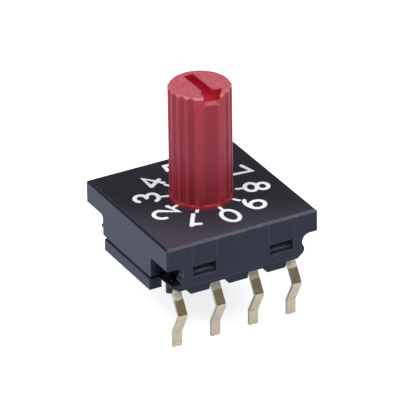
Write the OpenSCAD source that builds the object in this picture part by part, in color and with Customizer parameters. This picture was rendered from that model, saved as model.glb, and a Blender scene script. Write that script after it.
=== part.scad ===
// Ten-position rotary DIP switch with a fluted spindle, for a printed board.
// Millimetres. The origin is on the spindle axis, in the plane of the board; +Z is up,
// and -Y is the side with the row of four terminals. The pointer is drawn at position 0.

/* [Board] */
// Pitch of the terminals along a row
pitch = 2.54; // [2.5:0.01:2.6]
// Distance of each terminal row from the spindle axis
row_y = 3.81; // [3.7:0.01:3.85]
// Height of the feet under the base plate
foot_h = 0.36; // [0.3:0.01:0.5]

/* [Cover] */
// Width and depth of the cover
cover_w = 10; // [9.9:0.05:10.4]
// Height of the cover's top face above the board
cover_top = 3.65; // [3.6:0.05:4.4]
// Height of the band round the top of the cover
band_h = 1.4; // [1.3:0.05:1.5]
// Thickness of the four hanging walls
wall_t = 0.6; // [0.5:0.02:0.62]
// Half length of the front and back walls
front_half = 4.08; // [4:0.02:4.2]
// Half length of the side walls
side_half = 2.95; // [2.7:0.05:3.1]
// Clear height between the base plate and the front wall
front_gap = 0.2; // [0.16:0.02:0.5]
// Clear height between a side rail and the side wall over it
side_gap = 0.21; // [0.1:0.01:0.3]
// Hollow radius where the front wall runs out under the band
front_fillet = 0.5; // [0.3:0.05:0.5]
// Depth of the waist that this hollow cuts into the front wall
front_waist = 0.14; // [0.05:0.01:0.2]
// Hollow radius where a side wall runs out under the band
side_fillet = 0.25; // [0.1:0.05:0.4]
// Rounding of the front wall's lower corners
front_corner = 0.4; // [0.2:0.05:0.45]
// Rounding of the side walls' lower corners
side_corner = 0.12; // [0.05:0.01:0.4]
// Chamfer round the cover's top edge
top_chamfer = 0.14; // [0.05:0.01:0.2]
// Chamfer of the cover's upright edges
edge_chamfer = 0.08; // [0.05:0.01:0.15]
// Thickness of the cover over the rotor chamber
roof_t = 0.55; // [0.5:0.05:0.6]

/* [Latches] */
// Distance of each latch window from the middle of its wall
window_x = 2.55; // [2.3:0.05:2.7]
// Width of a latch window
window_w = 1.6; // [1.4:0.05:1.8]
// Height of a latch window
window_h = 0.7; // [0.6:0.05:0.75]
// Height of a window's sill above the board
window_z = 1.43; // [1.4:0.01:1.5]
// Depth of the mould relief over each window
relief_t = 0.03; // [0.02:0.01:0.1]
// Reach of a latch nose past the base wall
nose_reach = 0.5; // [0.3:0.05:0.55]
// Height of a latch nose's blunt tip
nose_tip = 0.16; // [0.1:0.02:0.24]

/* [Base] */
// Inset of the base plate from the cover's faces
plate_inset = 0.6; // [0.6:0.01:0.65]
// Thickness of the base plate
plate_t = 0.34; // [0.3:0.01:0.4]
// Chamfer of the base plate's corners
plate_corner = 0.1; // [0.05:0.01:0.2]
// Bevel under the base plate's ends, along the plate
end_bevel = 0.45; // [0.2:0.01:0.5]
// Air between the chamber block and the cover's side walls
block_air = 0.35; // [0.3:0.01:0.4]
// Bevel of the chamber block's corners, along each side
block_bevel = 1.75; // [1.5:0.05:1.9]
// Half length of the latch walls at the front and back of the block
latch_wall_half = 3.6; // [3.5:0.05:3.7]
// Half length of a side rail
rail_half = 2.78; // [2.6:0.02:2.9]
// Height of a side rail above the board
rail_h = 0.72; // [0.7:0.01:0.8]
// Width of a side rail
rail_w = 0.8; // [0.7:0.02:0.9]
// Length of a foot between two terminals
foot_w = 1.22; // [1:0.02:1.3]
// Depth of a foot, front to back
foot_d = 0.5; // [0.4:0.05:0.5]
// Bevel at a foot's left end
foot_bevel = 0.33; // [0.2:0.01:0.35]
// Diameter of a corner nub under the plate
nub_d = 0.45; // [0.35:0.01:0.5]
// Distance of a corner nub from the middle, front to back
nub_y = 3.7; // [3.6:0.05:3.8]
// Height of the nubs' undersides above the board
nub_lift = 0.1; // [0:0.01:0.15]
// Depth of the sill along the front and back of the base, which covers the end terminals
sill_d = 1.2; // [1.1:0.05:1.3]

/* [Spindle] */
// Diameter of the spindle over its flutes
spindle_d = 3.78; // [3.5:0.01:3.78]
// Height of the spindle above the cover
spindle_h = 7.25; // [5:0.05:9]
// Number of flute places round the spindle
flute_places = 20; // [16:1:24]
// Radius of the flutes' hollows and of the ridges between them
flute_r = 0.21; // [0.2:0.005:0.22]
// Depth of a flute
flute_depth = 0.12; // [0.1:0.01:0.13]
// Turn of the flutes and the channel from the pointer's direction
flute_turn = -9; // [-9:1:9]
// Flute places from the middle of the channel to the first flute
first_flute = 2; // [2:1:3]
// Radius of the shallow channel under the pointer
channel_r = 1.5; // [1.2:0.05:1.8]
// Depth of the shallow channel
channel_depth = 0.16; // [0.08:0.01:0.18]
// Chamfer round the spindle's top
spindle_chamfer = 0.14; // [0.08:0.01:0.2]
// Height of the plain collar that shows above the cover
collar_h = 0.2; // [0.1:0.01:0.3]
// Width of the screwdriver slot
slot_w = 0.68; // [0.5:0.01:0.8]
// Depth of the screwdriver slot
slot_depth = 0.46; // [0.35:0.01:0.6]
// Distance of the slot's closed end from the spindle axis
slot_end = 1.42; // [1.3:0.01:1.65]
// Reach of the arrow head's right barb from the middle of the slot
barb_right = 0.9; // [0.7:0.01:1]
// Distance of the right barb from the spindle axis
barb_right_y = 1.08; // [0.95:0.01:1.15]
// Reach of the arrow head's left barb from the middle of the slot
barb_left = 0.5; // [0.45:0.01:0.9]
// Distance of the left barb from the spindle axis
barb_left_y = 0.98; // [0.94:0.01:1.15]
// Distance of the arrow head's inner corners from the axis
neck_y = 0.86; // [0.6:0.01:0.9]
// Reach of the arrow head to the left where it leaves the spindle
mouth_left = 0.7; // [0.4:0.01:0.8]
// Reach of the arrow head to the right where it leaves the spindle
mouth_right = 0.28; // [0.2:0.01:0.5]
// Length of the bevel where the slot's floor runs out into the channel
bevel_run = 0.45; // [0.3:0.01:0.5]
// Drop of this bevel
bevel_drop = 0.18; // [0.1:0.01:0.3]

/* [Rotor] */
// Diameter of the journal that turns in the cover
journal_d = 3.8; // [3.8:0.01:3.84]
// Diameter of the rotor flange
flange_d = 7.2; // [7.15:0.01:7.24]
// Thickness of the rotor flange over the code disc
flange_t = 0.65; // [0.6:0.01:0.7]
// Height of the code disc's underside above the base plate
disc_lift = 0.75; // [0.7:0.01:0.78]
// Thickness of the code disc
disc_t = 0.15; // [0.1:0.01:0.18]
// Diameter of the pivot post
post_d = 0.9; // [0.8:0.02:1]
// Depth of the pivot hole above the code disc's underside
pivot_depth = 0.65; // [0.5:0.05:0.7]
// Diameter of the thrust boss round the pivot post
boss_d = 1.5; // [1.3:0.05:1.55]

/* [Contacts] */
// Width of a terminal
strip_w = 0.58; // [0.5:0.01:0.6]
// Thickness of the contact metal
strip_t = 0.2; // [0.15:0.01:0.22]
// Width of a contact finger
finger_w = 0.32; // [0.28:0.01:0.34]
// Longest run of a contact finger over the base
finger_run = 1.4; // [1.2:0.05:1.5]
// Run of the finger past its contact point
finger_tip = 0.24; // [0.2:0.01:0.26]
// Drop of the finger past its contact point
finger_drop = 0.14; // [0.1:0.01:0.2]
// Length of a terminal's heel on the base plate, behind its pin
heel = 0.45; // [0.4:0.05:0.6]
// Radius of the common track on the code disc
common_r = 1.08; // [1.06:0.01:1.1]
// Radius of the innermost code track
track_r = 1.5; // [1.49:0.01:1.51]
// Width of a code track
track_w = 0.4; // [0.36:0.01:0.42]
// Rim of metal outside the last track
track_rim = 0.1; // [0.06:0.01:0.11]
// Inset of the code disc from the flange's edge
disc_inset = 0.06; // [0.04:0.01:0.1]
// Length of a terminal below the board
pin_drop = 3.55; // [3:0.05:4]
// Outward reach of the terminal's holding kink
kink_out = 0.76; // [0.3:0.02:0.9]
// Depth of the kink below the board
kink_z = 1.22; // [1:0.02:1.4]
// Depth below the board where the kink is back in line
kink_end = 2.6; // [2.4:0.05:2.8]
// Inner bend radius of the contact metal
bend_in = 0.08; // [0.05:0.01:0.1]

/* [Detent] */
// Thickness of the click spring
spring_t = 0.12; // [0.1:0.01:0.14]
// Clearance of the click spring from the chamber's wall and from the seal's seat
spring_gap = 0.13; // [0.1:0.01:0.15]
// Half length of a click arm's flat root
arm_root = 1.5; // [1.4:0.05:1.6]
// Half length of a click arm's bow
arm_half = 1.15; // [1:0.05:1.25]
// Depth of a click arm's nose in its notch
nose_in = 0.1; // [0.05:0.01:0.14]
// Radius of the cutter that forms a click notch
notch_r = 0.4; // [0.35:0.01:0.45]
// Depth of a click notch
notch_depth = 0.2; // [0.16:0.01:0.22]
// Width of the spring's two locating ears
ear_w = 0.8; // [0.6:0.05:1]
// Reach of an ear into the cover
ear_reach = 0.25; // [0.2:0.01:0.3]

/* [Seal] */
// Thickness of the sealing ring
seal_t = 0.48; // [0.45:0.01:0.5]
// Wall of the ring's seat in the cover
seat_wall = 0.3; // [0.25:0.01:0.32]
// Length of the seat's wall below the roof
seat_h = 0.45; // [0.3:0.05:0.5]

/* [Clearances] */
// Radial clearance of the journal in the cover
journal_gap = 0.04; // [0.02:0.01:0.06]
// Radial clearance of the pivot post
post_gap = 0.03; // [0.02:0.01:0.05]
// End clearance between the rotor and the thrust boss
thrust_gap = 0.03; // [0.02:0.01:0.05]
// Clearance round the rotor flange in its chamber
flange_gap = 0.15; // [0.12:0.01:0.18]
// Clearance under the code disc at the contact points
contact_gap = 0.02; // [0.02:0.01:0.04]
// Clearance round fitted pieces, such as the contact metal in the base
fit_gap = 0.03; // [0.02:0.005:0.04]
// Clearance between the chamber block and the cover's band
block_gap = 0.1; // [0.08:0.01:0.14]
// Clear height between the base's sill and the cover's wall over it
sill_gap = 0.08; // [0.05:0.01:0.1]

/* [Hidden] */
$fn = 72;
positions = 10;
step_angle = 360 / positions;
// Each contact: its place in the row in pitches, its angle from the front, its track and its bit.
// A track counts outward from the innermost code track; the common track is -1.
contacts = [
    [-1.5, -63.5, 3, 0],
    [-0.5, -57.9, 0, 1],
    [0.5, 37.6, 1, 2],
    [1.5, 64.5, 2, 3]
];
common_contact = [0, 0, -1, 0];
far = 3 * cover_w;
cut = 0.5;
half = cover_w / 2;
floor_z = foot_h + plate_t;
band_z = cover_top - band_h;
roof_z = cover_top - roof_t;
chamber_r = flange_d / 2 + flange_gap;
disc_z = floor_z + disc_lift;
flange_z = disc_z + disc_t;
flange_top = flange_z + flange_t;
disc_in = boss_d / 2 + disc_t;
disc_out = flange_d / 2 - disc_inset;
outer_track_r = disc_out - track_rim - track_w / 2;
track_step = (outer_track_r - track_r) / (len(contacts) - 1);
spring_out = chamber_r - spring_gap;
seal_mid_r = journal_d / 2 + fit_gap + seal_t / 2;
seal_mid_z = roof_z - fit_gap - seal_t / 2;
seat_r = seal_mid_r + seal_t / 2 + fit_gap;
spring_in = seat_r + seat_wall + spring_gap;
shoulder_z = seal_mid_z - seal_t / 2 - fit_gap;
collar_z = cover_top + collar_h;
spindle_top = cover_top + spindle_h;
spindle_r = spindle_d / 2;
slot_floor = spindle_top - slot_depth;
flute_angle = 360 / flute_places;
contact_z = disc_z - contact_gap - strip_t / 2;
bend_r = bend_in + strip_t / 2;
strip_z = floor_z + strip_t / 2;
latch_y = half - wall_t - block_gap;
plate_half = half - plate_inset;
block_half = half - wall_t - block_air;
block_top = band_z - block_gap;

function track_radius(i) = track_r + i * track_step;

// Radius of the track that contact c touches
function contact_radius(c) = c[2] < 0 ? common_r : track_radius(c[2]);

// Place of contact c's contact point, in front of the axis
function contact_x(c) = contact_radius(c) * sin(c[1]);
function contact_y(c) = -contact_radius(c) * cos(c[1]);

// Where finger c leaves the base plate: its full run away, or at the chamber's wall
function root_y(c) =
    max(contact_y(c) - finger_run, fit_gap - sqrt(pow(chamber_r, 2) - pow(contact_x(c), 2)));

// Unit vector from p to q
function along(p, q) = (q - p) / norm(q - p);

// A line of points with each inner corner rounded to radius r
function rounded(p, r, steps = 5) = [
    for (i = [0:len(p) - 1])
        if (i == 0 || i == len(p) - 1) p[i]
        else each let (
            u = along(p[i], p[i - 1]),
            v = along(p[i], p[i + 1]),
            half_angle = acos(u * v) / 2,
            reach = r / tan(half_angle),
            a = p[i] + u * reach,
            b = p[i] + v * reach,
            centre = p[i] + (u + v) / norm(u + v) * r / sin(half_angle)
        ) [
            for (k = [0:steps])
                let (m = a + (b - a) * k / steps)
                centre + (m - centre) / norm(m - centre) * r
        ]
];

// One side of a strip of thickness t along the points p; side is 1 or -1
function strip_side(p, t, side) = [
    for (i = [0:len(p) - 1]) let (
        u = i == 0 ? along(p[0], p[1]) : along(p[i - 1], p[i]),
        v = i == len(p) - 1 ? u : along(p[i], p[i + 1]),
        n = [-(u + v)[1], (u + v)[0]] / norm(u + v),
        stretch = t / 2 / (n * [-u[1], u[0]])
    ) p[i] + side * stretch * n
];

function reversed(p) = [for (i = [len(p) - 1:-1:0]) p[i]];

// Outline of a strip of thickness t along the points p
module strip(p, t) polygon(concat(strip_side(p, t, 1), reversed(strip_side(p, t, -1))));

// Stands a drawing in (y, z) up across X, w wide and centred on x = 0
module across_x(w) rotate([90, 0, 90]) translate([0, 0, -w / 2]) linear_extrude(w) children();

// Stands a drawing in (x, z) up across Y, t deep, with its front at y0
module across_y(y0, t) translate([0, y0 + t, 0]) rotate([90, 0, 0]) linear_extrude(t) children();

// A square of side w with its corners cut by c
module cut_square(w, c) {
    h = w / 2;
    polygon([
        [h - c, h], [-h + c, h], [-h, h - c], [-h, -h + c],
        [-h + c, -h], [h - c, -h], [h, -h + c], [h, h - c]
    ]);
}

// The part of a ring between two radii and two angles, which are under 180 degrees apart
module arc(r_in, r_out, from, to) intersection() {
    difference() {
        circle(r_out);
        circle(r_in);
    }
    polygon([[0, 0], far * [cos(from), sin(from)], far * [cos(to), sin(to)]]);
}

// The cover

// A hanging wall from z0 up to the band: round corners of radius r below, and above them a hollow
// of radius fillet, which runs out under the band and cuts a waist into the wall
module wall_outline(half_w, z0, r, fillet, waist) {
    hollow_x = half_w + fillet - waist;
    difference() {
        union() {
            translate([-half_w, z0 + r]) square([2 * half_w, band_z - z0 - r + cut]);
            translate([-half_w + r, z0]) square([2 * (half_w - r), 2 * r]);
            for (s = [-1, 1]) translate([s * (half_w - r), z0 + r]) circle(r);
            translate([-hollow_x, band_z - fillet]) square([2 * hollow_x, fillet + cut]);
        }
        for (s = [-1, 1]) translate([s * hollow_x, band_z - fillet]) circle(fillet);
    }
}

// The band's section: a flat side with its top edge chamfered
module band_outline() polygon([
    [-half, band_z], [half, band_z], [half, cover_top - top_chamfer],
    [half - top_chamfer, cover_top], [-half + top_chamfer, cover_top], [-half, cover_top - top_chamfer]
]);

module band() intersection() {
    across_y(-half, cover_w) band_outline();
    across_x(cover_w) band_outline();
    linear_extrude(far) cut_square(cover_w, edge_chamfer);
}

module cover_walls() {
    for (turn = [0, 180]) rotate(turn) {
        across_y(-half, wall_t)
            wall_outline(front_half, floor_z + front_gap, front_corner, front_fillet, front_waist);
        rotate(90) across_y(-half, wall_t)
            wall_outline(side_half, rail_h + side_gap, side_corner, side_fillet, 0);
    }
}

module latch_windows() for (turn = [0, 180], s = [-1, 1]) rotate(turn) translate([s * window_x, 0, 0]) {
    translate([-window_w / 2, -half - cut, window_z]) cube([window_w, wall_t + 2 * cut, window_h]);
    translate([-window_w / 2, -half - cut, window_z])
        cube([window_w, cut + relief_t, cover_top - top_chamfer - window_z]);
}

// The ring's seat: a short wall that hangs from the roof round the seal
module seal_seat() translate([0, 0, roof_z - seat_h]) linear_extrude(seat_h + roof_t / 2) difference() {
    circle(seat_r + seat_wall);
    circle(seat_r);
}

module spring_ears(gap, z, h) for (s = [-1, 1])
    translate([-ear_w / 2 - gap, s > 0 ? 0 : -spring_out - ear_reach - gap, z])
        cube([ear_w + 2 * gap, spring_out + ear_reach + gap, h]);

module cover() color([0.2, 0.2, 0.23]) {
    difference() {
        union() {
            band();
            cover_walls();
        }
        translate([0, 0, band_z - cut]) cylinder(r = chamber_r, h = roof_z - band_z + cut);
        cylinder(d = journal_d + 2 * journal_gap, h = far);
        spring_ears(fit_gap, band_z - cut, roof_z - band_z + cut);
        latch_windows();
    }
    seal_seat();
}

// The base

// A foot between two terminals, bevelled at its left end
module foot(w) across_y(-plate_half, foot_d) polygon([
    [-w / 2 - foot_bevel, foot_h], [-w / 2, 0], [w / 2, 0], [w / 2 + foot_bevel / 4, foot_h]
]);

module feet() {
    for (x = [-1:1]) translate([x * pitch, 0, 0]) foot(foot_w);
    rotate(180) for (x = [-1, 1]) translate([x * pitch, 0, 0]) foot(foot_w);
    for (sx = [-1, 1], sy = [-1, 1]) translate([sx * (plate_half - nub_d / 2), sy * nub_y, nub_lift])
        cylinder(d = nub_d, h = floor_z - nub_lift);
}

module rails() for (s = [-1, 1])
    translate([s > 0 ? half - rail_w : -half, -rail_half, 0]) cube([rail_w, 2 * rail_half, rail_h]);

// The base plate, bevelled underneath at both ends
module plate() intersection() {
    across_y(-plate_half, 2 * plate_half) polygon([
        [-plate_half + end_bevel, foot_h], [plate_half - end_bevel, foot_h],
        [plate_half, floor_z], [-plate_half, floor_z]
    ]);
    linear_extrude(far) cut_square(2 * plate_half, plate_corner);
}

// The block round the rotor chamber, with its latch walls, and the sills along the front and back
module chamber_block() translate([0, 0, floor_z]) {
    linear_extrude(block_top - floor_z) {
        cut_square(2 * block_half, block_bevel);
        square([2 * latch_wall_half, 2 * latch_y], center = true);
    }
    linear_extrude(front_gap - sill_gap) difference() {
        cut_square(2 * plate_half, plate_corner);
        square([far, 2 * (plate_half - sill_d)], center = true);
    }
}

// A latch nose: flat below, where the window's sill catches, and sloping above for assembly
module latch_nose() translate([-window_w / 2 + fit_gap, 0, 0]) rotate([90, 0, 90])
    linear_extrude(window_w - 2 * fit_gap) polygon([
        [-latch_y, window_z + fit_gap], [-latch_y - nose_reach, window_z + fit_gap],
        [-latch_y - nose_reach, window_z + fit_gap + nose_tip], [-latch_y, window_z + window_h - fit_gap]
    ]);

module base() color([0.16, 0.16, 0.19]) difference() {
    union() {
        plate();
        rails();
        feet();
        difference() {
            chamber_block();
            translate([0, 0, floor_z]) cylinder(r = chamber_r, h = far);
        }
        translate([0, 0, floor_z]) cylinder(d = boss_d, h = disc_lift - thrust_gap);
        translate([0, 0, floor_z]) cylinder(d = post_d, h = disc_lift + pivot_depth - thrust_gap);
        for (turn = [0, 180], s = [-1, 1]) rotate(turn) translate([s * window_x, 0, 0]) latch_nose();
    }
    for (c = contacts) terminal_space(c);
    rotate(180) terminal_space(common_contact);
}

// The rotor with its spindle

// Circles of the flutes' radius at flute places, counted round from the channel, r_centre from the axis
module flute_circles(first, last, r_centre) for (place = [first:last])
    rotate(-90 + flute_turn + place * flute_angle) translate([r_centre, 0]) circle(flute_r, $fn = 36);

// The fluted section: round ridges and hollows that run into each other, and a plain part with the channel
module spindle_section() difference() {
    union() {
        circle(spindle_r - 2 / 3 * flute_depth);
        flute_circles(first_flute + 0.5, flute_places - first_flute, spindle_r - flute_r);
        rotate(-90 + flute_turn) arc(0, spindle_r, -first_flute * flute_angle, first_flute * flute_angle);
    }
    flute_circles(first_flute, flute_places - first_flute, spindle_r - flute_depth + flute_r);
    rotate(-90 + flute_turn) translate([spindle_r + channel_r - channel_depth, 0]) circle(channel_r);
}

// The screwdriver slot, closed at the back, with an arrow head that opens into the channel in front
module pointer_outline() polygon([
    [-slot_w / 2, slot_end], [-slot_w / 2, -neck_y], [-barb_left, -barb_left_y],
    [-mouth_left, -spindle_r], [-mouth_left, -spindle_d], [mouth_right, -spindle_d],
    [mouth_right, -spindle_r], [barb_right, -barb_right_y], [slot_w / 2, -neck_y], [slot_w / 2, slot_end]
]);

// The bevel at the arrow head's open end, from the slot's floor down to the channel
module mouth_bevel() translate([0, 0, slot_floor]) intersection() {
    rotate(flute_turn) across_x(spindle_d) polygon([
        [-spindle_r + bevel_run, 0], [-spindle_r - bevel_run, -2 * bevel_drop],
        [-spindle_r - bevel_run, cut], [-spindle_r + bevel_run, cut]
    ]);
    translate([0, 0, -far]) linear_extrude(2 * far) pointer_outline();
}

module spindle() difference() {
    intersection() {
        translate([0, 0, collar_z - cut]) linear_extrude(spindle_top - collar_z + cut) spindle_section();
        rotate_extrude() polygon([
            [0, 0], [spindle_r + cut, 0], [spindle_r + cut, spindle_top - spindle_chamfer - cut],
            [spindle_r - spindle_chamfer, spindle_top], [0, spindle_top]
        ]);
    }
    translate([0, 0, slot_floor]) linear_extrude(far) pointer_outline();
    mouth_bevel();
}

module click_notches() for (i = [0:positions - 1])
    rotate(i * step_angle) translate([spring_in - cut / 2, 0, flange_top + notch_r - notch_depth])
        rotate([0, 90, 0]) cylinder(r = notch_r, h = far, $fn = 36);

module rotor() color([0.72, 0.16, 0.22]) {
    spindle();
    difference() {
        rotate_extrude() polygon([
            [0, disc_z], [disc_in - fit_gap, disc_z], [disc_in - fit_gap, flange_z],
            [flange_d / 2, flange_z], [flange_d / 2, flange_top],
            [seal_mid_r + seal_t / 2, flange_top], [seal_mid_r + seal_t / 2, shoulder_z],
            [journal_d / 2, shoulder_z], [journal_d / 2, collar_z], [0, collar_z]
        ]);
        click_notches();
        translate([0, 0, -cut]) cylinder(d = post_d + 2 * post_gap, h = disc_z + pivot_depth + cut);
    }
    translate([0, 0, disc_z]) linear_extrude(disc_t + flange_t / 2) code_windows(fit_gap);
}

module seal_ring() color([0.12, 0.12, 0.12]) rotate_extrude()
    translate([seal_mid_r, seal_mid_z]) circle(d = seal_t, $fn = 36);

// The click spring: a flat ring under the roof, with two bowed arms that press on the flange

module click_arm() {
    flat_z = roof_z - spring_t / 2;
    nose_z = flange_top - nose_in + spring_t / 2;
    path = rounded([
        [-arm_root, flat_z], [-arm_half, flat_z], [0, nose_z], [arm_half, flat_z], [arm_root, flat_z]
    ], 2 * spring_t);
    intersection() {
        translate([(spring_in + spring_out) / 2, 0, 0])
            across_x(2 * (spring_out - spring_in)) strip(path, spring_t);
        translate([0, 0, floor_z]) linear_extrude(far) difference() {
            circle(spring_out);
            circle(spring_in);
        }
    }
}

module detent_spring() color([0.7, 0.7, 0.72]) {
    translate([0, 0, roof_z - spring_t]) linear_extrude(spring_t) difference() {
        union() {
            circle(spring_out);
            square([ear_w, 2 * (spring_out + ear_reach)], center = true);
        }
        circle(spring_in);
        square([far, 2 * arm_root - spring_t], center = true);
    }
    for (turn = [0, 180]) rotate(turn) click_arm();
}

// The code disc

// Whether contact c is off in position n, where its bit of the position's number is 0
function is_off(c, n) = floor((n % positions) / pow(2, c[3])) % 2 == 0;

// The open parts of the code tracks, which pass over a contact where it is off.
// Where the next position is off too, a window runs on into it.
module code_windows(gap) for (c = contacts) {
    r = track_radius(c[2]);
    trim = asin(gap / r);
    for (n = [0:positions - 1])
        if (is_off(c, n)) {
            middle = -90 + c[1] + n * step_angle;
            end = is_off(c, n + 1) ? step_angle : step_angle / 2 - trim;
            arc(r - track_w / 2 + gap, r + track_w / 2 - gap, middle - step_angle / 2 + trim, middle + end);
        }
}

module code_disc() color([0.83, 0.66, 0.33]) translate([0, 0, disc_z]) linear_extrude(disc_t) difference() {
    circle(disc_out);
    circle(disc_in);
    code_windows(0);
}

// The terminals, each one strip of metal with its contact finger

// The pin below the board, its way up through the base plate and its heel on the plate
pin_path = rounded([
    [-row_y, -pin_drop], [-row_y, -kink_end], [-row_y - kink_out, -kink_z], [-row_y, 0],
    [-row_y, strip_z], [-row_y + heel, strip_z]
], bend_r);

// The flat part on the base plate, from the pin's heel to the finger's root
function lead_path(c) = [
    [c[0] * pitch, -row_y + bend_r], [c[0] * pitch, -row_y + heel],
    [contact_x(c), root_y(c)], [contact_x(c), root_y(c) + bend_r]
];

module finger(c) translate([contact_x(c), 0, 0]) across_x(finger_w) strip(rounded([
    [root_y(c), strip_z], [root_y(c) + bend_r, strip_z], [contact_y(c), contact_z],
    [contact_y(c) + finger_tip, contact_z - finger_drop]
], bend_r), strip_t);

module terminal(c) color([0.84, 0.79, 0.62]) {
    translate([c[0] * pitch, 0, 0]) across_x(strip_w) strip(pin_path, strip_t);
    translate([0, 0, floor_z]) linear_extrude(strip_t) strip(lead_path(c), finger_w);
    finger(c);
}

// The way that the base leaves for a terminal
module terminal_space(c) {
    space = strip_t + 2 * fit_gap;
    space_w = strip_w + 2 * fit_gap;
    translate([c[0] * pitch - space_w / 2, -row_y - space / 2, 0]) {
        translate([0, 0, -cut]) cube([space_w, space, floor_z + strip_t + fit_gap + cut]);
        translate([0, 0, floor_z - bend_in]) cube([space_w, space + bend_in, bend_in + strip_t + fit_gap]);
        translate([0, 0, floor_z]) cube([space_w, space + heel, strip_t + fit_gap]);
    }
    translate([0, 0, floor_z]) linear_extrude(strip_t + fit_gap)
        strip(lead_path(c), finger_w + 2 * fit_gap);
}

module terminal_1() terminal(contacts[0]);
module terminal_2() terminal(contacts[1]);
module terminal_4() terminal(contacts[2]);
module terminal_8() terminal(contacts[3]);
module terminal_common() rotate(180) terminal(common_contact);

cover();
base();
rotor();
seal_ring();
detent_spring();
code_disc();
terminal_1();
terminal_2();
terminal_4();
terminal_8();
terminal_common();
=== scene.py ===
"""The looks of a rotary DIP switch: moulded plastics, plated pins, the printed ring, light and camera.

Lengths here are in millimetres unless a comment says otherwise, and MM turns them into Blender's metres.
"""
import math

import bmesh
import bpy
from mathutils import Matrix, Vector


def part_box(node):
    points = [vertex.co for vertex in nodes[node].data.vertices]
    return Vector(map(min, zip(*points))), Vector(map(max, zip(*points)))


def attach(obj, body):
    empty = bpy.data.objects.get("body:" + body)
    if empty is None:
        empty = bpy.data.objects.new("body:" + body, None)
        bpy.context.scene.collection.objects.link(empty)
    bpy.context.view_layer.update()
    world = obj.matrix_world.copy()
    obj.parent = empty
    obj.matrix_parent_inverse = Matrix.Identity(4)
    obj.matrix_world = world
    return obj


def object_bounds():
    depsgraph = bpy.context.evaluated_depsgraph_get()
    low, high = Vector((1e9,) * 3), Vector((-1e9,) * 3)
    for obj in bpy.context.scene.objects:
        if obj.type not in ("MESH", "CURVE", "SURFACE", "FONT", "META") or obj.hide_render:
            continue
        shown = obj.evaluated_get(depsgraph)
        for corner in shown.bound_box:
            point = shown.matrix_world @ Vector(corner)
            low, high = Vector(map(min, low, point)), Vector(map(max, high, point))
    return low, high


MM = 0.001
POSITIONS = 10
WHITE = (1, 1, 1, 1)

# The printed ring: how far its centre is from the spindle's axis, the ink's thickness, how far it sinks into
# the cover and each stroke stands over the one before, and where the digits' middles and the ticks' ends are.
PRINT_SHIFT = (0.15, 0.17)
PRINT_THICKNESS = 0.012
PRINT_LAYER = 0.0015
STROKE = 0.25
GLYPH_RADIUS = 3.3
TICK_FROM = 1.95
TICK_TO = 2.5
TICK_WIDTH = 0.2

# The digits: half their width and height, the steps in a round end and its tip's half width, the least cosine
# that a mitre is cut for, and how near a stroke's ends are when they meet.
HALF_W = 0.48
HALF_H = 0.71
CAP_STEPS = 5
TIP = 0.004
MITRE_LIMIT = 0.7
MEETING = 1e-6

# Noise values lie mostly between these two.
NOISE_LOW = 0.3
NOISE_HIGH = 0.7

# Samples for edges and recesses, at how many times the least turn an edge shows fully, how far the shade in
# recesses reaches, and the span of openness it covers.
SAMPLES = 8
FULL_EDGE = 4
SHADE_REACH = 0.8
SHADE_OPENNESS = (0.5, 0.95)

# Spans of that shade, which is 1 in the open, over which recesses turn matt and take a paler painted grey,
# and metal takes painted shade.
MATT_SHADE = (0.7, 0.1)
PAINTED_GREY_SHADE = (0.6, 0.0)
METAL_SHADE = (0.8, 0.2)

# The cover: its rim's chamfer and how strong the painted highlight on its edges is from its foot to its head,
# how much rougher the top is, and the span over which a normal's height counts as the top. The last two are
# the span from back to front over which a painted sheen makes the top paler, and how much a step to the right
# counts in that.
RIM_CHAMFER = 0.14
EDGE_HIGHLIGHT_SPAN = (0.45, 0.9)
TOP_ROUGHNESS = 0.3
FACES_UP = (0.9, 0.99)
TOP_SHEEN_FRONT = (-1.0, -6.0)
SIDE_WEIGHT = 0.5

# The spindle: how far light goes under its surface, in red, green and blue, how wide its rim's edges are,
# and the spans that an effect rises over: up from its end, up from the cover's top, or out from its axis.
# Most of these effects are painted shade, painted highlights and a painted sheen.
UNDER_SURFACE = (0.9, 0.2, 0.2)
SPINDLE_EDGE = 0.06
NEAR_END = (-1.0, -0.7)
ABOVE_SLOT_FLOOR = (-0.4, -0.36)
END_SHEEN_SPAN = (-0.2, -0.06)
COLLAR = (0.34, 0.2)
SLOT_RADII = (1.75, 1.6625)
GROOVE_RADII = (1.88, 1.76)
RIDGE_RADII = (1.8424, 1.88)

# The spans of a normal's height between which a face of the spindle's end is a sloping rim, the span of the
# end's painted sheen over which the slot's red comes in, and how uneven that painted sheen is.
RIM_SLOPE_FROM = (0.3, 0.5)
RIM_SLOPE_TO = (0.999, 0.98)
SLOT_UNDER_SHEEN = (1.0, 0.5)
END_SHEEN_MOTTLE = (0.55, 0.95)

# Strip metal: how its drawing lines are stretched, how many lines wide its clouds are, and its soft edges.
LINE_STRETCH = (1, 1, 0.12)
CLOUD_LINES = 6
STRIP_EDGE = 0.03

# The pins, in spans of height over the board: where the dull film, painted pale as light where the body
# shades the pins, starts and ends, and where painted shade starts.
PALE_FILM_START = (-0.4, -0.28)
PALE_FILM_END = (0.7, 0.56)
SHADED_ABOVE = (0.2, 0.4)

# The floor: half its size in metres, its glow to the camera and in reflections, and its colour in the latter.
FLOOR_REACH = 1.5
FLOOR_SEEN = 0.76
FLOOR_MIRRORED = 0.45
FLOOR_SHEEN = (0.5, 0.68, 1.15, 1.0)

# The room: its colour, the colour of the black plastics' gloss, and its light from the front and the back,
# with the span of directions between them.
ROOM = (0.93, 0.96, 1.0, 1.0)
COOL = (0.8, 0.84, 1.0, 1.0)
FRONT_FILL = 0.14
BACK_FILL = 0.36
FILL_SPAN = (-0.6, 0.6)

# The lamps: name, azimuth and elevation in degrees, distance and size in metres, and power in watts.
LAMPS = [
    ("key", -62, 56, 0.30, 0.2, 0.45),
    ("edge_light", 42, 51, 0.32, 0.14, 0.34),
]

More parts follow.
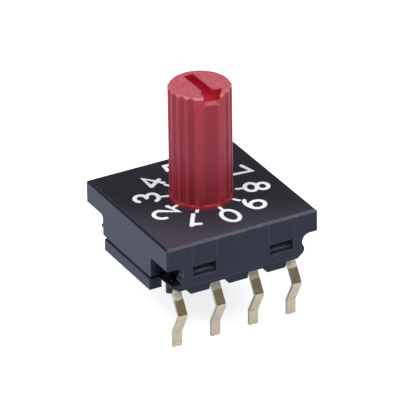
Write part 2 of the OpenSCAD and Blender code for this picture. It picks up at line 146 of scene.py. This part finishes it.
# The camera: where it looks from, in degrees, its distance, and its lens in pixels of a picture 400 wide. The
# last pair is how far the middle of the cover's top is from the picture's middle.
AZIMUTH = -28.45
ELEVATION = 28.4
ROLL = 0.85
DISTANCE = 270.0
PICTURE = 400
SENSOR = 36.0
FOCAL_PIXELS = 4612.0
CLIP_START = 1.0
CENTRE_PIXELS = (1.2, 5.6)

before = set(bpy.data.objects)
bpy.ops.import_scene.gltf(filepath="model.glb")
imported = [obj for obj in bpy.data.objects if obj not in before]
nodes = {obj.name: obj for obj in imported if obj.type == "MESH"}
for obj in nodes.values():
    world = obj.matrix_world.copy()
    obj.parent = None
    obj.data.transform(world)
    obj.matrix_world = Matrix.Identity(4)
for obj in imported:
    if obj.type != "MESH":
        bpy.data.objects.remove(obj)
cad_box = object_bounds()
cover_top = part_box("cover")[1].z
spindle_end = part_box("rotor")[1].z


# Colours

def srgb(red, green, blue):
    """A colour from 0 to 255 as the linear colour that a shader takes."""
    linear = []
    for value in (red, green, blue):
        share = value / 255
        linear.append(share / 12.92 if share <= 0.04045 else ((share + 0.055) / 1.055) ** 2.4)
    return (*linear, 1.0)


# The mottled ones are pairs.
COVER_BLACK = (srgb(24, 25, 33), srgb(34, 33, 43))
BASE_BLACK = (srgb(22, 23, 31), srgb(32, 33, 42))
SEAL_BLACK = (srgb(24, 24, 25), srgb(34, 34, 35))
SPINDLE_RED = (srgb(178, 27, 49), srgb(196, 37, 59))
STEEL = (srgb(188, 188, 190), srgb(206, 206, 208))
BRASS = (srgb(212, 176, 104), srgb(226, 194, 126))
PALE_GOLD = (srgb(202, 182, 144), srgb(220, 200, 164))
INK_WHITE = (srgb(240, 242, 250), srgb(254, 254, 255))
# A painted glow for the ink.
INK_PAINTED_GLOW = (0.95, 0.97, 1.0, 1.0)
# Painted light and shade: the cover top's sheen and edge highlight, the paler grey in recesses, and the
# spindle's shade low down and in grooves, highlights on its ridges and collar, and sheen on its end.
PAINTED_TOP_SHEEN = srgb(74, 70, 84)
PAINTED_EDGE_HIGHLIGHT = srgb(132, 128, 150)
RECESS_PAINTED_GREY = srgb(58, 60, 74)
PAINTED_LOW_SHADE = srgb(136, 14, 30)
PAINTED_GROOVE_SHADE = srgb(124, 12, 32)
PAINTED_RIDGE_HIGHLIGHT = srgb(212, 78, 92)
PAINTED_COLLAR_HIGHLIGHT = srgb(208, 62, 66)
PAINTED_END_SHEEN = srgb(220, 108, 122)
SLOT_RED = srgb(194, 20, 47)
# A painted highlight on the spindle's rims, the pins' film painted pale as light, and painted shade on metal.
PAINTED_RIM_HIGHLIGHT = srgb(232, 150, 158)
PIN_FILM_PAINTED_PALE = srgb(255, 248, 222)
PAINTED_SHADE_METAL = srgb(34, 32, 30)
FLOOR_GREY = srgb(236, 236, 238)


# Building blocks for materials

def new_material(name):
    """An empty node material, as (material, tree, its Principled shader)."""
    material = bpy.data.materials.new(name)
    material.use_nodes = True
    tree = material.node_tree
    return material, tree, tree.nodes["Principled BSDF"]


def ramp(tree, value, start, end, low=0.0, high=1.0):
    """Maps a value between start and end to the span from low to high, and holds it outside that."""
    span = tree.nodes.new("ShaderNodeMapRange")
    span.inputs["From Min"].default_value = start
    span.inputs["From Max"].default_value = end
    span.inputs["To Min"].default_value = low
    span.inputs["To Max"].default_value = high
    tree.links.new(value, span.inputs["Value"])
    return span.outputs["Result"]


def rise(tree, length, span, origin=0.0):
    """A value that goes from 0 to 1 as a length passes a span in millimetres, from an origin in metres."""
    return ramp(tree, length, origin + span[0] * MM, origin + span[1] * MM)


def join(tree, operation, first, second=0.0):
    """The result of an operation on two values; the second may be a number."""
    result = tree.nodes.new("ShaderNodeMath")
    result.operation = operation
    tree.links.new(first, result.inputs[0])
    if isinstance(second, float):
        result.inputs[1].default_value = second
    else:
        tree.links.new(second, result.inputs[1])
    return result.outputs["Value"]


def times(tree, first, second):
    """The product of two values; the second may be a number."""
    return join(tree, "MULTIPLY", first, second)


def mix_colours(tree, factor, first, second):
    """A colour that turns from the first to the second as the factor rises; the first may be a socket."""
    mix = tree.nodes.new("ShaderNodeMix")
    mix.data_type = "RGBA"
    mix.inputs["B"].default_value = second
    tree.links.new(factor, mix.inputs["Factor"])
    if isinstance(first, tuple):
        mix.inputs["A"].default_value = first
    else:
        tree.links.new(first, mix.inputs["A"])
    return mix.outputs["Result"]


def fed(shader, name):
    """The socket that feeds one of the shader's inputs."""
    return shader.inputs[name].links[0].from_socket


def paint(tree, shader, factor, colour, strength=1.0):
    """Turns the shader's base colour to another as the factor rises, by a strength of up to 1."""
    if strength < 1.0:
        factor = times(tree, factor, strength)
    tree.links.new(mix_colours(tree, factor, fed(shader, "Base Color"), colour), shader.inputs["Base Color"])


def split(tree, source, output):
    """The x, y and z sockets of a vector output."""
    parts = tree.nodes.new("ShaderNodeSeparateXYZ")
    tree.links.new(source.outputs[output], parts.inputs["Vector"])
    return parts.outputs["X"], parts.outputs["Y"], parts.outputs["Z"]


def shade(tree):
    """A value that falls from 1 on open faces to 0 deep in recesses."""
    hollow = tree.nodes.new("ShaderNodeAmbientOcclusion")
    hollow.samples = SAMPLES
    hollow.inputs["Distance"].default_value = SHADE_REACH * MM
    return ramp(tree, hollow.outputs["AO"], *SHADE_OPENNESS)


def rounded_edges(tree, radius):
    """Normals that are rounded along the edges, by a radius."""
    bevel = tree.nodes.new("ShaderNodeBevel")
    bevel.samples = SAMPLES
    bevel.inputs["Radius"].default_value = radius * MM
    return bevel.outputs["Normal"]


def edges(tree, radius, turn):
    """A value of 1 on edges, within a radius, and 0 on faces; turn is how sharp an edge is to show at all."""
    place = tree.nodes.new("ShaderNodeNewGeometry")
    dot = tree.nodes.new("ShaderNodeVectorMath")
    dot.operation = "DOT_PRODUCT"
    tree.links.new(rounded_edges(tree, radius), dot.inputs[0])
    tree.links.new(place.outputs["Normal"], dot.inputs[1])
    return ramp(tree, dot.outputs["Value"], 1 - turn, 1 - FULL_EDGE * turn)


def noise(tree, size, detail=3.0, stretch=(1, 1, 1)):
    """Noise in the object's own space, whose lumps are about as wide as the size."""
    place = tree.nodes.new("ShaderNodeTexCoord")
    scale = tree.nodes.new("ShaderNodeMapping")
    scale.inputs["Scale"].default_value = [s / (size * MM) for s in stretch]
    texture = tree.nodes.new("ShaderNodeTexNoise")
    texture.inputs["Scale"].default_value = 1.0
    texture.inputs["Detail"].default_value = detail
    tree.links.new(place.outputs["Object"], scale.inputs["Vector"])
    tree.links.new(scale.outputs["Vector"], texture.inputs["Vector"])
    return texture.outputs["Fac"]


def spread(tree, value, low=0.0, high=1.0):
    """Maps a noise value to the span from low to high."""
    return ramp(tree, value, NOISE_LOW, NOISE_HIGH, low, high)


def add_bump(tree, shader, height, depth, under=None):
    """A bump of a depth, over another bump if one is given."""
    bump = tree.nodes.new("ShaderNodeBump")
    bump.inputs["Strength"].default_value = 1.0
    bump.inputs["Distance"].default_value = depth * MM
    tree.links.new(height, bump.inputs["Height"])
    if under is not None:
        tree.links.new(under, bump.inputs["Normal"])
    tree.links.new(bump.outputs["Normal"], shader.inputs["Normal"])
    return bump.outputs["Normal"]


# Materials

def plastic(name, colours, roughness, specular, grain, flow, soft_edge):
    """Moulded plastic: a fine mould grain over wide shallow flow marks, a slight mottle and soft edges.

    The grain and the flow marks are each given by their size and depth.
    """
    material, tree, shader = new_material(name)
    grain_noise = noise(tree, grain[0])
    flow_noise = noise(tree, flow[0], detail=2.0)
    mottled = mix_colours(tree, spread(tree, flow_noise), *colours)
    tree.links.new(mottled, shader.inputs["Base Color"])
    tree.links.new(spread(tree, grain_noise, *roughness), shader.inputs["Roughness"])
    shader.inputs["Specular IOR Level"].default_value = specular
    soft = rounded_edges(tree, soft_edge)
    under = add_bump(tree, shader, flow_noise, flow[1], under=soft)
    add_bump(tree, shader, grain_noise, grain[1], under=under)
    return material, tree, shader


def dull_recesses_paint_grey(tree, shader):
    """Makes recesses matt, and paints them a grey paler than the plastic, painted light that keeps them from
    turning black.
    """
    hollow = shade(tree)
    matt = join(tree, "MAXIMUM", fed(shader, "Roughness"), ramp(tree, hollow, *MATT_SHADE))
    tree.links.new(matt, shader.inputs["Roughness"])
    # Painted light: a paler grey in recesses.
    paint(tree, shader, ramp(tree, hollow, *PAINTED_GREY_SHADE), RECESS_PAINTED_GREY)
    shader.inputs["Specular Tint"].default_value = COOL


def cover_plastic():
    """The cover's black plastic: a rougher top with a painted sheen that makes it paler to the front, and a
    painted highlight on its edges, strongest at the top rims.
    """
    material, tree, shader = plastic(
        "cover_plastic", COVER_BLACK, roughness=(0.26, 0.36), specular=0.42,
        grain=(0.11, 0.0012), flow=(1.6, 0.006), soft_edge=0.05)
    geometry = tree.nodes.new("ShaderNodeNewGeometry")
    faces_up = ramp(tree, split(tree, geometry, "True Normal")[2], *FACES_UP)
    rougher = join(tree, "ADD", fed(shader, "Roughness"), times(tree, faces_up, TOP_ROUGHNESS))
    tree.links.new(rougher, shader.inputs["Roughness"])
    x, y, z = split(tree, geometry, "Position")
    along = join(tree, "ADD", y, times(tree, x, SIDE_WEIGHT))
    # Painted sheen: the top is painted paler towards the front.
    paint(tree, shader, times(tree, faces_up, rise(tree, along, TOP_SHEEN_FRONT)), PAINTED_TOP_SHEEN)
    # Painted highlight on the cover's edges, strongest along the top rims.
    highlight_from = cover_top - 2 * RIM_CHAMFER * MM
    highlight_to = cover_top - RIM_CHAMFER * MM
    highlight_strength = ramp(tree, z, highlight_from, highlight_to, *EDGE_HIGHLIGHT_SPAN)
    paint(tree, shader, times(tree, edges(tree, RIM_CHAMFER / 2, turn=0.03), highlight_strength), PAINTED_EDGE_HIGHLIGHT)
    dull_recesses_paint_grey(tree, shader)
    return material


def base_plastic():
    """The base's black plastic, a little darker than the cover's."""
    material, tree, shader = plastic(
        "base_plastic", BASE_BLACK, roughness=(0.28, 0.4), specular=0.42,
        grain=(0.12, 0.0012), flow=(1.4, 0.006), soft_edge=0.05)
    dull_recesses_paint_grey(tree, shader)
    return material


def rotor_plastic():
    """The spindle's red plastic: satin sides, painted shade downwards and in grooves, painted highlights on
    ridges, collar and rims, and a painted sheen on its paler, mottled end.
    """
    material, tree, shader = plastic(
        "rotor_plastic", SPINDLE_RED, roughness=(0.3, 0.42), specular=0.5,
        grain=(0.09, 0.001), flow=(1.2, 0.004), soft_edge=0.09)
    shader.inputs["Subsurface Weight"].default_value = 0.15
    shader.inputs["Subsurface Radius"].default_value = [reach * MM for reach in UNDER_SURFACE]
    shader.inputs["Subsurface Scale"].default_value = 1.0
    geometry = tree.nodes.new("ShaderNodeNewGeometry")
    x, y, z = split(tree, geometry, "Position")
    facing = split(tree, geometry, "True Normal")[2]
    radius = join(tree, "SQRT", join(tree, "ADD", times(tree, x, x), times(tree, y, y)))
    near_end = rise(tree, z, NEAR_END, spindle_end)
    # Painted sheen that makes the end paler, mottled.
    end_sheen = rise(tree, z, END_SHEEN_SPAN, spindle_end)
    # The end's sloping rims and sharp edges, which get a painted highlight.
    slope = times(tree, ramp(tree, facing, *RIM_SLOPE_FROM), ramp(tree, facing, *RIM_SLOPE_TO))
    above_floor = rise(tree, z, ABOVE_SLOT_FLOOR, spindle_end)
    sharp = times(tree, edges(tree, SPINDLE_EDGE, turn=0.04), above_floor)
    rim = times(tree, join(tree, "MAXIMUM", sharp, slope), near_end)
    recess = times(tree, rise(tree, radius, SLOT_RADII), near_end)
    in_slot = times(tree, recess, ramp(tree, end_sheen, *SLOT_UNDER_SHEEN))
    mottle = spread(tree, noise(tree, size=0.35), *END_SHEEN_MOTTLE)
    # Each layer: where it lies, its colour and its strength. All but the slot's own red are painted light and
    # shade.
    layers = [
        # Painted shade, darker downwards to the cover.
        (ramp(tree, z, spindle_end, cover_top), PAINTED_LOW_SHADE, 0.75),
        # Painted shade in the grooves and a painted highlight on the ridges.
        (rise(tree, radius, GROOVE_RADII), PAINTED_GROOVE_SHADE, 0.27),
        (rise(tree, radius, RIDGE_RADII), PAINTED_RIDGE_HIGHLIGHT, 0.2),
        # Painted highlight on the collar at the foot.
        (rise(tree, z, COLLAR, cover_top), PAINTED_COLLAR_HIGHLIGHT, 0.45),
        # Painted sheen on the end, mottled.
        (times(tree, end_sheen, mottle), PAINTED_END_SHEEN, 1.0),
        (in_slot, SLOT_RED, 1.0),
        # Painted highlight on the rims.
        (rim, PAINTED_RIM_HIGHLIGHT, 0.4),
    ]
    for factor, colour, strength in layers:
        paint(tree, shader, factor, colour, strength)
    return material


def rubber():
    """The seal's black rubber."""
    return plastic(
        "seal_rubber", SEAL_BLACK, roughness=(0.55, 0.7), specular=0.4,
        grain=(0.1, 0.003), flow=(0.8, 0.004), soft_edge=0.01)[0]


def plated(name, colours, roughness, line_size, line_depth):
    """Strip metal: drawing lines along the strip, and a clouded colour."""
    material, tree, shader = new_material(name)
    lines = noise(tree, line_size, detail=2.0, stretch=LINE_STRETCH)
    clouds = noise(tree, CLOUD_LINES * line_size)
    tree.links.new(mix_colours(tree, spread(tree, clouds), *colours), shader.inputs["Base Color"])
    tree.links.new(spread(tree, lines, *roughness), shader.inputs["Roughness"])
    shader.inputs["Metallic"].default_value = 1.0
    add_bump(tree, shader, lines, line_depth, under=rounded_edges(tree, STRIP_EDGE))
    return material, tree, shader


def spring_steel():
    """The click spring's bare rolled steel."""
    return plated("spring_steel", STEEL, roughness=(0.26, 0.4), line_size=0.05, line_depth=0.001)[0]


def disc_plating():
    """The code disc's plated brass."""
    return plated("contact_metal", BRASS, roughness=(0.22, 0.34), line_size=0.05, line_depth=0.0008)[0]


def pin_plating():
    """The terminals' pale gold, a dull film painted pale as light where a pin leaves the body, and painted
    shade in recesses.
    """
    material, tree, shader = plated(
        "terminal_metal", PALE_GOLD, roughness=(0.2, 0.26), line_size=0.05, line_depth=0.0003)
    z = split(tree, tree.nodes.new("ShaderNodeNewGeometry"), "Position")[2]
    pale_film_mask = times(tree, rise(tree, z, PALE_FILM_START), rise(tree, z, PALE_FILM_END))
    tree.links.new(ramp(tree, pale_film_mask, 0.0, 1.0, low=1.0, high=0.0), shader.inputs["Metallic"])
    # The film is dull, and painted pale as painted light where the body shades the pin.
    paint(tree, shader, pale_film_mask, PIN_FILM_PAINTED_PALE)
    # Painted shade on the metal in recesses.
    deep = times(tree, ramp(tree, shade(tree), *METAL_SHADE), rise(tree, z, SHADED_ABOVE))
    paint(tree, shader, deep, PAINTED_SHADE_METAL)
    return material


def white_ink():
    """White printing ink, a little uneven and thin at places, with a faint painted glow."""
    material, tree, shader = new_material("white_ink")
    uneven = noise(tree, size=0.14)
    tree.links.new(mix_colours(tree, spread(tree, uneven), *INK_WHITE), shader.inputs["Base Color"])
    tree.links.new(spread(tree, uneven, low=0.42, high=0.6), shader.inputs["Roughness"])
    add_bump(tree, shader, uneven, depth=0.002)
    # A painted glow that lifts the ink's white.
    shader.inputs["Emission Color"].default_value = INK_PAINTED_GLOW
    shader.inputs["Emission Strength"].default_value = 0.2
    return material


def dress(names, material):
    """Gives CAD nodes a material."""
    for name in names:
        mesh = nodes[name].data
        mesh.materials.clear()
        mesh.materials.append(material)


dress(["cover"], cover_plastic())
dress(["base"], base_plastic())
dress(["rotor"], rotor_plastic())
dress(["seal_ring"], rubber())
dress(["detent_spring"], spring_steel())
dress(["code_disc"], disc_plating())
dress([name for name in nodes if name.startswith("terminal_")], pin_plating())


# The printed position ring

def arc(centre, radii, start, end, steps=20):
    """Points on an ellipse from one angle to another, in degrees, counter-clockwise from the right."""
    points = []
    for i in range(steps + 1):
        angle = math.radians(start + (end - start) * i / steps)
        points.append((centre[0] + radii[0] * math.cos(angle), centre[1] + radii[1] * math.sin(angle)))
    return points


def glyph(digit):
    """A digit's strokes, each a line of points. A stroke whose ends meet is closed.

    Each digit is drawn upright round its own middle, with its top away from the spindle. The numbers are
    places in millimetres, or shares of half its width and height, and angles in degrees.
    """
    w = HALF_W
    h = HALF_H
    if digit == 0:
        return [arc((-0.07, 0), (w, h), 0, 360, steps=40)]
    if digit == 1:
        return [[(0.18, -0.84 * h), (0.1, 1.08 * h)], [(0.1, 1.08 * h), (-0.08, 0.78 * h), (-0.4, 0.7 * h)]]
    if digit == 2:
        return [arc((-0.12, h - w), (w, w), 165, -25) + [(-w - 0.12, -h), (w - 0.12, -h)]]
    if digit == 3:
        upper = arc((0, h / 2), (0.85 * w, h / 2), 155, -90)
        lower = arc((0, -h / 2), (w, h / 2), 90, -155)
        return [upper, lower]
    if digit == 4:
        corner = (-1.15 * w, -0.4 * h)
        return [[(0.18, -h), (0.12, 0.9 * h), corner], [corner, (0.93 * w, -0.4 * h)]]
    if digit == 5:
        bowl = arc((-0.02, -h + 0.46), (w, 0.46), 128, -150)
        return [[(0.85 * w, h), (-0.75 * w, h), (-0.9 * w, 0.12)] + bowl]
    if digit == 6:
        return [[(-x, -y) for x, y in stroke] for stroke in glyph(9)]
    if digit == 7:
        return [[(-1.15 * w, 0.98 * h), (0.7 * w, 0.9 * h), (-0.6 * w, -h)]]
    if digit == 8:
        upper = arc((-0.05, 0.33), (0.8 * w, h - 0.37), 0, 360, steps=32)
        lower = arc((-0.05, -0.37), (w, h - 0.35), 0, 360, steps=32)
        return [upper, lower]
    loop = arc((0, h - 0.43), (w, 0.43), 0, 360, steps=32)
    tail = arc((-w, h - 0.43), (2 * w, 2 * h - 0.43), 0, -68)
    return [loop, tail]


def unit(a, b):
    """The unit step from one point towards another."""
    length = math.dist(a, b)
    return ((b[0] - a[0]) / length, (b[1] - a[1]) / length)


def round_cap(inner, end, half):
    """The stations past a stroke's end, which narrow to its tip. Left is as seen from the end inwards."""
    forward = Vector(unit(inner, end))
    left = Vector((forward.y, -forward.x))
    caps = []
    for i in range(1, CAP_STEPS + 1):
        angle = math.radians(90 * i / CAP_STEPS)
        centre = Vector(end) + forward * half * math.sin(angle)
        width = max(half * math.cos(angle), TIP)
        caps.append((centre + left * width, centre - left * width))
    return caps


def stations(points, half):
    """Pairs of left and right points along a stroke, mitred and with round ends, and whether it is closed."""
    closed = math.dist(points[0], points[-1]) < MEETING
    line = points[:-1] if closed else points
    count = len(line)
    pairs = []
    for i, point in enumerate(line):
        before = unit(line[i - 1], point) if closed or i > 0 else unit(point, line[1])
        after = unit(point, line[(i + 1) % count]) if closed or i < count - 1 else before
        across = Vector((-(before[1] + after[1]), before[0] + after[0])).normalized()
        reach = half / max(MITRE_LIMIT, across.dot(Vector((-before[1], before[0]))))
        pairs.append((Vector(point) + reach * across, Vector(point) - reach * across))
    if closed:
        return pairs, True
    first_cap = round_cap(line[1], line[0], half)[::-1]
    last_cap = [pair[::-1] for pair in round_cap(line[-2], line[-1], half)]
    return first_cap + pairs + last_cap, False


def raise_stroke(mesh, points, half, place, low, high):
    """Adds one stroke to a mesh, as a closed slab from height low to height high."""
    pairs, closed = stations(points, half)
    rings = []
    for left, right in pairs:
        corners = [(left, high), (right, high), (right, low), (left, low)]
        rings.append([mesh.verts.new(place @ Vector((p.x, p.y, z))) for p, z in corners])
    spans = list(zip(rings, rings[1:])) + ([(rings[-1], rings[0])] if closed else [])
    for ring, following in spans:
        for k in range(4):
            m = (k + 1) % 4
            mesh.faces.new((ring[k], ring[m], following[m], following[k]))
    if not closed:
        mesh.faces.new(rings[0][::-1])
        mesh.faces.new(rings[-1])


def print_piece(name, strokes, half, angle, radius, material):
    """A printed mark on the cover, at an angle clockwise from the front, with its middle at a radius."""
    outward = Vector((-math.sin(angle), -math.cos(angle), 0))
    right = Vector((outward.y, -outward.x, 0))
    place = Matrix((right, outward, (0, 0, 1))).transposed().to_4x4()
    place.translation = Vector((*PRINT_SHIFT, cover_top / MM)) + outward * radius
    mesh = bmesh.new()
    for i, stroke in enumerate(strokes):
        raise_stroke(mesh, stroke, half, place, -PRINT_LAYER, PRINT_THICKNESS + i * PRINT_LAYER)
    bmesh.ops.scale(mesh, vec=(MM, MM, MM), verts=mesh.verts)
    bmesh.ops.recalc_face_normals(mesh, faces=mesh.faces)
    data = bpy.data.meshes.new(name)
    mesh.to_mesh(data)
    mesh.free()
    data.materials.append(material)
    piece = bpy.data.objects.new(name, data)
    bpy.context.scene.collection.objects.link(piece)
    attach(piece, "housing")


def print_ring():
    """The ten digits and their ticks, clockwise from the front."""
    ink = white_ink()
    dash = [[(0, TICK_FROM + TICK_WIDTH / 2), (0, TICK_TO - TICK_WIDTH / 2)]]
    for position in range(POSITIONS):
        turn = math.radians(position * 360 / POSITIONS)
        print_piece(f"digit_{position}", glyph(position), STROKE / 2, turn, GLYPH_RADIUS, ink)
        print_piece(f"tick_{position}", dash, TICK_WIDTH / 2, turn, 0, ink)


print_ring()


# Floor, light and camera

def make_floor():
    """A wide pale floor under the pins. It shines white to the camera and cool in reflections."""
    material, tree, shader = new_material("floor")
    shader.inputs["Base Color"].default_value = FLOOR_GREY
    shader.inputs["Roughness"].default_value = 0.9
    shader.inputs["Specular IOR Level"].default_value = 0.1
    path = tree.nodes.new("ShaderNodeLightPath")
    tree.links.new(
        mix_colours(tree, path.outputs["Is Camera Ray"], FLOOR_SHEEN, WHITE), shader.inputs["Emission Color"])
    seen = times(tree, path.outputs["Is Camera Ray"], FLOOR_SEEN)
    mirrored = times(tree, path.outputs["Is Glossy Ray"], FLOOR_MIRRORED)
    tree.links.new(join(tree, "MAXIMUM", seen, mirrored), shader.inputs["Emission Strength"])
    level = cad_box[0].z
    data = bpy.data.meshes.new("floor")
    corners = [(x * FLOOR_REACH, y * FLOOR_REACH, level) for x, y in ((-1, -1), (1, -1), (1, 1), (-1, 1))]
    data.from_pydata(corners, [], [(0, 1, 2, 3)])
    data.materials.append(material)
    floor = bpy.data.objects.new("floor", data)
    bpy.context.scene.collection.objects.link(floor)


def make_world():
    """Soft light, weaker from the front, and a white background where the camera sees it."""
    world = bpy.data.worlds.new("studio")
    bpy.context.scene.world = world
    world.use_nodes = True
    tree = world.node_tree
    background = tree.nodes["Background"]
    path = tree.nodes.new("ShaderNodeLightPath")
    seen = join(tree, "MAXIMUM", path.outputs["Is Camera Ray"], path.outputs["Is Transmission Ray"])
    tree.links.new(mix_colours(tree, seen, ROOM, WHITE), background.inputs["Color"])
    place = tree.nodes.new("ShaderNodeTexCoord")
    fill = ramp(tree, split(tree, place, "Generated")[1], *FILL_SPAN, FRONT_FILL, BACK_FILL)
    tree.links.new(join(tree, "MAXIMUM", seen, fill), background.inputs["Strength"])


def direction(azimuth, elevation):
    """The unit vector towards a place seen at an azimuth and an elevation; azimuth 0 is in front."""
    a = math.radians(azimuth)
    e = math.radians(elevation)
    return Vector((math.sin(a) * math.cos(e), -math.cos(a) * math.cos(e), math.sin(e)))


def add_lamp(name, azimuth, elevation, distance, size, power):
    """A soft square lamp that points at the switch."""
    data = bpy.data.lights.new(name, "AREA")
    data.shape = "SQUARE"
    data.size = size
    data.energy = power
    lamp = bpy.data.objects.new(name, data)
    bpy.context.scene.collection.objects.link(lamp)
    back = direction(azimuth, elevation)
    lamp.location = back * distance
    lamp.rotation_mode = "QUATERNION"
    lamp.rotation_quaternion = back.to_track_quat("Z", "Y")


def make_camera():
    """The photograph's camera, found from the cover's corners and the pins."""
    back = direction(AZIMUTH, ELEVATION)
    level_right = Vector((math.cos(math.radians(AZIMUTH)), math.sin(math.radians(AZIMUTH)), 0))
    level_up = back.cross(level_right)
    roll = math.radians(ROLL)
    right = math.cos(roll) * level_right - math.sin(roll) * level_up
    up = math.sin(roll) * level_right + math.cos(roll) * level_up
    pixel = DISTANCE / FOCAL_PIXELS * MM
    aim = Vector((0, 0, cover_top)) - right * CENTRE_PIXELS[0] * pixel - up * CENTRE_PIXELS[1] * pixel
    data = bpy.data.cameras.new("camera")
    data.sensor_width = SENSOR
    data.lens = FOCAL_PIXELS * SENSOR / PICTURE
    data.clip_start = CLIP_START * MM
    camera = bpy.data.objects.new("camera", data)
    bpy.context.scene.collection.objects.link(camera)
    turned = Matrix((right, up, back)).transposed().to_4x4()
    camera.matrix_world = Matrix.Translation(aim + back * DISTANCE * MM) @ turned
    bpy.context.scene.camera = camera


make_floor()
make_world()
for lamp_values in LAMPS:
    add_lamp(*lamp_values)
make_camera()
bpy.context.scene.view_settings.view_transform = "Standard"
